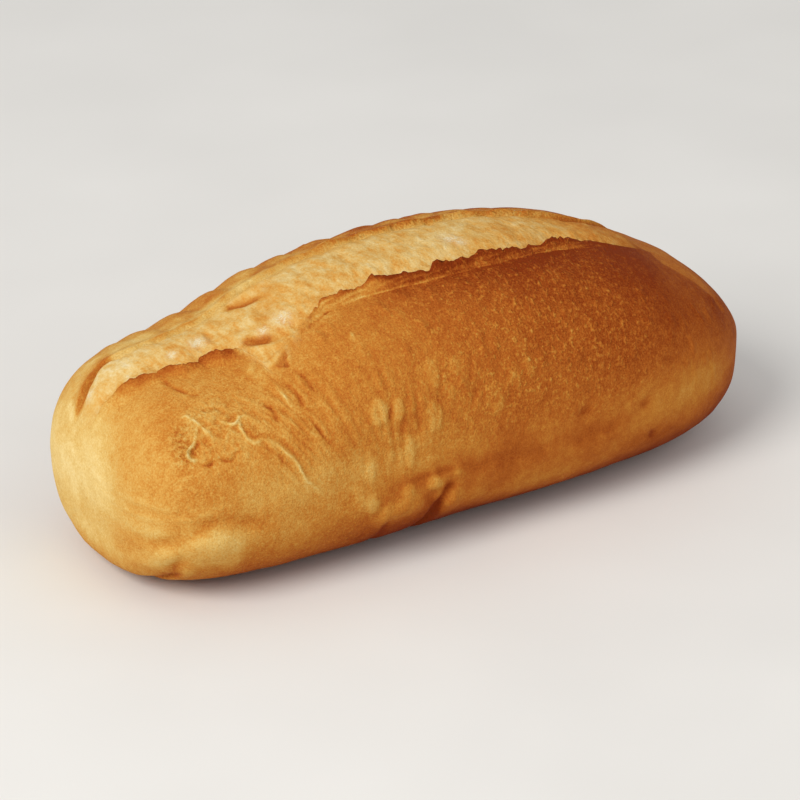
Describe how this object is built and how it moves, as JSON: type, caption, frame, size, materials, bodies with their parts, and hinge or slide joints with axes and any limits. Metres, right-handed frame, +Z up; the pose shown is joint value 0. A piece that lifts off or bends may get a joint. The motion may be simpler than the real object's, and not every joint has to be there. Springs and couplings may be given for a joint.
{
  "type": "baguette",
  "caption": "Petit baguette: a golden loaf with rounded ends, a crisp raised lip along the cut in its crown, pale torn crumb beside it and a flat base.",
  "frame": {"origin": "centre of the loaf's length and width, at the level of its flat base", "axes": "+X along the loaf, from its blunter end to its slimmer end; +Z up, out of the crown; -Y to the side that carries the raised lip"},
  "size_m": [0.1464, 0.0678, 0.0524],
  "materials": {
    "crust": "baked crust, satin, golden brown, darker along the lip and paler at the ends, the base and in the cut"
  },
  "bodies": {
    "root": {"loaf": "crust"}
  },
  "joints": []
}
